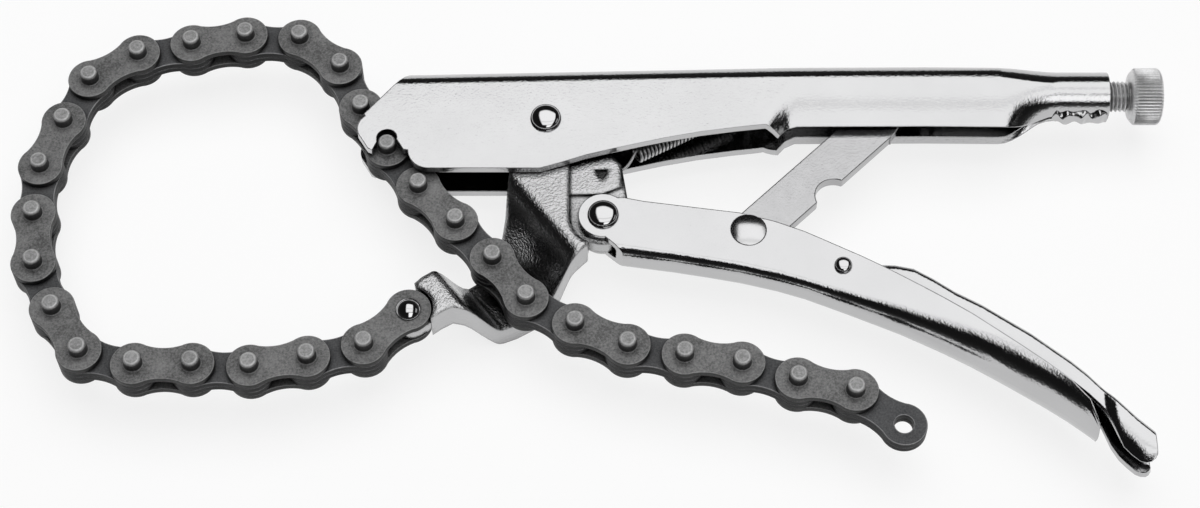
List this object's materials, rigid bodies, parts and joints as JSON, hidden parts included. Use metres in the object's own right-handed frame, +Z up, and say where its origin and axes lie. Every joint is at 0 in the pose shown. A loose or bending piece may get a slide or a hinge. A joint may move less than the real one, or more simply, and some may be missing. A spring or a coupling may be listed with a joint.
{
  "type": "locking chain wrench",
  "caption": "Locking wrench with an over-centre toggle, set screw and release lever; a leaf chain loops from its forged jaw round a pipe and hooks by its pins into the upper body.",
  "frame": {"origin": "middle of the outline, on the plane the tool lies on, which its cranked arm touches", "axes": "+X along the upper handle to the set screw, +Y from the lower handle to the upper, +Z up along every pivot and pin"},
  "size_m": [0.3292, 0.1448, 0.0269],
  "materials": {
    "chrome_sheet": "bright nickel-chrome plate on pressed sheet",
    "chrome_forging": "bright nickel-chrome plate on a drop forging",
    "rivet_steel": "plated rivet",
    "chain_steel": "dark phosphated steel, lightly oiled",
    "screw_steel": "dull zinc plate",
    "spring_steel": "plated spring wire"
  },
  "bodies": {
    "upper_body": {"upper_body": "chrome_sheet", "jaw_rivet": "rivet_steel", "return_spring": "spring_steel"},
    "lower_jaw": {"lower_jaw": "chrome_forging"},
    "lower_handle": {"lower_handle": "chrome_sheet", "handle_rivet": "rivet_steel", "link_rivet": "rivet_steel", "lever_rivet": "rivet_steel"},
    "toggle_link": {"toggle_link": "chrome_forging"},
    "release_lever": {"release_lever": "chrome_sheet"},
    "screw_point": {"screw_point": "screw_steel"},
    "adjusting_screw": {"adjusting_screw": "screw_steel"},
    "outer_link_01": {"outer_link_01": "chain_steel", "chain_anchor_rivet": "chain_steel"},
    "inner_link_01": {"inner_link_01": "chain_steel"},
    "outer_link_02": {"outer_link_02": "chain_steel"},
    "inner_link_02": {"inner_link_02": "chain_steel"},
    "outer_link_03": {"outer_link_03": "chain_steel"},
    "inner_link_03": {"inner_link_03": "chain_steel"},
    "outer_link_04": {"outer_link_04": "chain_steel"},
    "inner_link_04": {"inner_link_04": "chain_steel"},
    "outer_link_05": {"outer_link_05": "chain_steel"},
    "inner_link_05": {"inner_link_05": "chain_steel"},
    "outer_link_06": {"outer_link_06": "chain_steel"},
    "inner_link_06": {"inner_link_06": "chain_steel"},
    "outer_link_07": {"outer_link_07": "chain_steel"},
    "inner_link_07": {"inner_link_07": "chain_steel"},
    "outer_link_08": {"outer_link_08": "chain_steel"},
    "inner_link_08": {"inner_link_08": "chain_steel"},
    "outer_link_09": {"outer_link_09": "chain_steel"},
    "inner_link_09": {"inner_link_09": "chain_steel"},
    "outer_link_10": {"outer_link_10": "chain_steel"},
    "inner_link_10": {"inner_link_10": "chain_steel"},
    "outer_link_11": {"outer_link_11": "chain_steel"},
    "inner_link_11": {"inner_link_11": "chain_steel"},
    "outer_link_12": {"outer_link_12": "chain_steel"},
    "inner_link_12": {"inner_link_12": "chain_steel"},
    "outer_link_13": {"outer_link_13": "chain_steel"},
    "inner_link_13": {"inner_link_13": "chain_steel"},
    "outer_link_14": {"outer_link_14": "chain_steel"},
    "inner_link_14": {"inner_link_14": "chain_steel"},
    "outer_link_15": {"outer_link_15": "chain_steel"},
    "inner_link_15": {"inner_link_15": "chain_steel"}
  },
  "joints": [
    {"name": "jaw_pivot", "type": "hinge", "parent": "upper_body", "child": "lower_jaw", "pos_m": [-0.01384, 0.03461, 0.0168], "axis": [0, 0, 1], "range_deg": [-13, 0], "deforming": ["return_spring"]},
    {"name": "handle_pivot", "type": "hinge", "parent": "lower_jaw", "child": "lower_handle", "pos_m": [0.00256, 0.00421, 0.0168], "axis": [0, 0, 1], "range_deg": [0, 30.45]},
    {"name": "link_pivot", "type": "hinge", "parent": "lower_handle", "child": "toggle_link", "pos_m": [0.04336, -0.00059, 0.0168], "axis": [0, 0, 1], "range_deg": [-27.98, 0]},
    {"name": "lever_pivot", "type": "hinge", "parent": "lower_handle", "child": "release_lever", "pos_m": [0.06936, -0.01239, 0.0168], "axis": [0, 0, 1], "range_deg": [-1.7, 0]},
    {"name": "screw_feed", "type": "slide", "parent": "upper_body", "child": "screw_point", "axis": [1, 0, 0], "range_m": [0, 0.01]},
    {"name": "screw_turn", "type": "hinge", "parent": "screw_point", "child": "adjusting_screw", "pos_m": [0.13616, 0.04711, 0.0168], "axis": [1, 0, 0], "range_deg": [0, 2880]},
    {"name": "chain_pin_00", "type": "hinge", "parent": "lower_jaw", "child": "outer_link_01", "pos_m": [-0.05124, -0.02559, 0.0168], "axis": [0, 0, 1], "range_deg": [0, 3.73]},
    {"name": "chain_pin_01", "type": "hinge", "parent": "outer_link_01", "child": "inner_link_01", "pos_m": [-0.06304, -0.03621, 0.0168], "axis": [0, 0, 1], "range_deg": [0, 3.58]},
    {"name": "chain_pin_02", "type": "hinge", "parent": "inner_link_01", "child": "outer_link_02", "pos_m": [-0.07844, -0.04005, 0.0168], "axis": [0, 0, 1], "range_deg": [0, 3.52]},
    {"name": "chain_pin_03", "type": "hinge", "parent": "outer_link_02", "child": "inner_link_02", "pos_m": [-0.09407, -0.0428, 0.0168], "axis": [0, 0, 1], "range_deg": [0, 2.73]},
    {"name": "chain_pin_04", "type": "hinge", "parent": "inner_link_02", "child": "outer_link_03", "pos_m": [-0.10994, -0.04225, 0.0168], "axis": [0, 0, 1], "range_deg": [0, 1.03]},
    {"name": "chain_pin_05", "type": "hinge", "parent": "outer_link_03", "child": "inner_link_03", "pos_m": [-0.12581, -0.04225, 0.0168], "axis": [0, 0, 1], "range_deg": [-1.63, 0]},
    {"name": "chain_pin_06", "type": "hinge", "parent": "inner_link_03", "child": "outer_link_04", "pos_m": [-0.14115, -0.03814, 0.0168], "axis": [0, 0, 1], "range_deg": [-2.94, 0]},
    {"name": "chain_pin_07", "type": "hinge", "parent": "outer_link_04", "child": "inner_link_04", "pos_m": [-0.14979, -0.02483, 0.0168], "axis": [0, 0, 1], "range_deg": [-3.12, 0]},
    {"name": "chain_pin_08", "type": "hinge", "parent": "inner_link_04", "child": "outer_link_05", "pos_m": [-0.1565, -0.01044, 0.0168], "axis": [0, 0, 1], "range_deg": [-3, 0]},
    {"name": "chain_pin_09", "type": "hinge", "parent": "outer_link_05", "child": "inner_link_05", "pos_m": [-0.15816, 0.00535, 0.0168], "axis": [0, 0, 1], "range_deg": [-2.61, 0]},
    {"name": "chain_hook", "type": "hinge", "parent": "upper_body", "child": "outer_link_10", "pos_m": [-0.05917, 0.02723, 0.0168], "axis": [0, 0, 1], "range_deg": [-2.45, 0]},
    {"name": "chain_pin_18", "type": "hinge", "parent": "outer_link_10", "child": "inner_link_09", "pos_m": [-0.06735, 0.04084, 0.0168], "axis": [0, 0, 1], "range_deg": [-2.1, 0]},
    {"name": "chain_pin_17", "type": "hinge", "parent": "inner_link_09", "child": "outer_link_09", "pos_m": [-0.07406, 0.05523, 0.0168], "axis": [0, 0, 1], "range_deg": [-2, 0]},
    {"name": "chain_pin_16", "type": "hinge", "parent": "outer_link_09", "child": "inner_link_08", "pos_m": [-0.0864, 0.06522, 0.0168], "axis": [0, 0, 1], "range_deg": [-1.96, 0]},
    {"name": "chain_pin_15", "type": "hinge", "parent": "inner_link_08", "child": "outer_link_08", "pos_m": [-0.10225, 0.06605, 0.0168], "axis": [0, 0, 1], "range_deg": [-2.05, 0]},
    {"name": "chain_pin_14", "type": "hinge", "parent": "outer_link_08", "child": "inner_link_07", "pos_m": [-0.11788, 0.06329, 0.0168], "axis": [0, 0, 1], "range_deg": [-2.16, 0]},
    {"name": "chain_pin_13", "type": "hinge", "parent": "inner_link_07", "child": "outer_link_07", "pos_m": [-0.13335, 0.05972, 0.0168], "axis": [0, 0, 1], "range_deg": [-2.12, 0]},
    {"name": "chain_pin_12", "type": "hinge", "parent": "outer_link_07", "child": "inner_link_06", "pos_m": [-0.14651, 0.05084, 0.0168], "axis": [0, 0, 1], "range_deg": [-1.41, 0]},
    {"name": "chain_pin_11", "type": "hinge", "parent": "inner_link_06", "child": "outer_link_06", "pos_m": [-0.15272, 0.03623, 0.0168], "axis": [0, 0, 1], "range_deg": [0, 0.95]},
    {"name": "chain_pin_19", "type": "hinge", "parent": "upper_body", "child": "inner_link_10", "pos_m": [-0.05917, 0.02723, 0.0168], "axis": [0, 0, 1], "range_deg": [-8.02, 0]},
    {"name": "chain_pin_20", "type": "hinge", "parent": "inner_link_10", "child": "outer_link_11", "pos_m": [-0.04984, 0.01439, 0.0168], "axis": [0, 0, 1], "range_deg": [-1.5, 0.8]},
    {"name": "chain_pin_21", "type": "hinge", "parent": "outer_link_11", "child": "inner_link_11", "pos_m": [-0.03902, 0.00278, 0.0168], "axis": [0, 0, 1], "range_deg": [-2, 1]},
    {"name": "chain_pin_22", "type": "hinge", "parent": "inner_link_11", "child": "outer_link_12", "pos_m": [-0.0284, -0.00902, 0.0168], "axis": [0, 0, 1], "range_deg": [-3, 1.2]},
    {"name": "chain_pin_23", "type": "hinge", "parent": "outer_link_12", "child": "inner_link_12", "pos_m": [-0.01884, -0.0217, 0.0168], "axis": [0, 0, 1], "range_deg": [-22, 1]},
    {"name": "chain_pin_24", "type": "hinge", "parent": "inner_link_12", "child": "outer_link_13", "pos_m": [-0.00523, -0.02987, 0.0168], "axis": [0, 0, 1], "range_deg": [-22, 1]},
    {"name": "chain_pin_25", "type": "hinge", "parent": "outer_link_13", "child": "inner_link_13", "pos_m": [0.00927, -0.03633, 0.0168], "axis": [0, 0, 1], "range_deg": [-22, 1]},
    {"name": "chain_pin_26", "type": "hinge", "parent": "inner_link_13", "child": "outer_link_14", "pos_m": [0.02485, -0.03936, 0.0168], "axis": [0, 0, 1], "range_deg": [-22, 1.5]},
    {"name": "chain_pin_27", "type": "hinge", "parent": "outer_link_14", "child": "inner_link_14", "pos_m": [0.04053, -0.04184, 0.0168], "axis": [0, 0, 1], "range_deg": [-22, 2]},
    {"name": "chain_pin_28", "type": "hinge", "parent": "inner_link_14", "child": "outer_link_15", "pos_m": [0.05563, -0.04675, 0.0168], "axis": [0, 0, 1], "range_deg": [-22, 3]},
    {"name": "chain_pin_29", "type": "hinge", "parent": "outer_link_15", "child": "inner_link_15", "pos_m": [0.0711, -0.05032, 0.0168], "axis": [0, 0, 1], "range_deg": [-22, 6]}
  ],
  "couplings": [
    {"joint": "handle_pivot", "follows": "jaw_pivot", "ratio": -2.3193},
    {"joint": "link_pivot", "follows": "jaw_pivot", "ratio": 2.1296},
    {"joint": "chain_pin_00", "follows": "jaw_pivot", "ratio": -0.2635},
    {"joint": "chain_pin_01", "follows": "jaw_pivot", "ratio": -0.2526},
    {"joint": "chain_pin_02", "follows": "jaw_pivot", "ratio": -0.2479},
    {"joint": "chain_pin_03", "follows": "jaw_pivot", "ratio": -0.1866},
    {"joint": "chain_pin_04", "follows": "jaw_pivot", "ratio": -0.0562},
    {"joint": "chain_pin_05", "follows": "jaw_pivot", "ratio": 0.1022},
    {"joint": "chain_pin_06", "follows": "jaw_pivot", "ratio": 0.2031},
    {"joint": "chain_pin_07", "follows": "jaw_pivot", "ratio": 0.2168},
    {"joint": "chain_pin_08", "follows": "jaw_pivot", "ratio": 0.2073},
    {"joint": "chain_pin_09", "follows": "jaw_pivot", "ratio": 0.1776},
    {"joint": "chain_hook", "follows": "jaw_pivot", "ratio": 0.1653},
    {"joint": "chain_pin_18", "follows": "jaw_pivot", "ratio": 0.1387},
    {"joint": "chain_pin_17", "follows": "jaw_pivot", "ratio": 0.131},
    {"joint": "chain_pin_16", "follows": "jaw_pivot", "ratio": 0.1277},
    {"joint": "chain_pin_15", "follows": "jaw_pivot", "ratio": 0.1349},
    {"joint": "chain_pin_14", "follows": "jaw_pivot", "ratio": 0.1434},
    {"joint": "chain_pin_13", "follows": "jaw_pivot", "ratio": 0.1397},
    {"joint": "chain_pin_12", "follows": "jaw_pivot", "ratio": 0.0856},
    {"joint": "chain_pin_11", "follows": "jaw_pivot", "ratio": -0.05},
    {"joint": "chain_pin_19", "follows": "jaw_pivot", "ratio": 0.5941},
    {"joint": "screw_turn", "follows": "screw_feed", "rad_per_m": 5026.5}
  ]
}
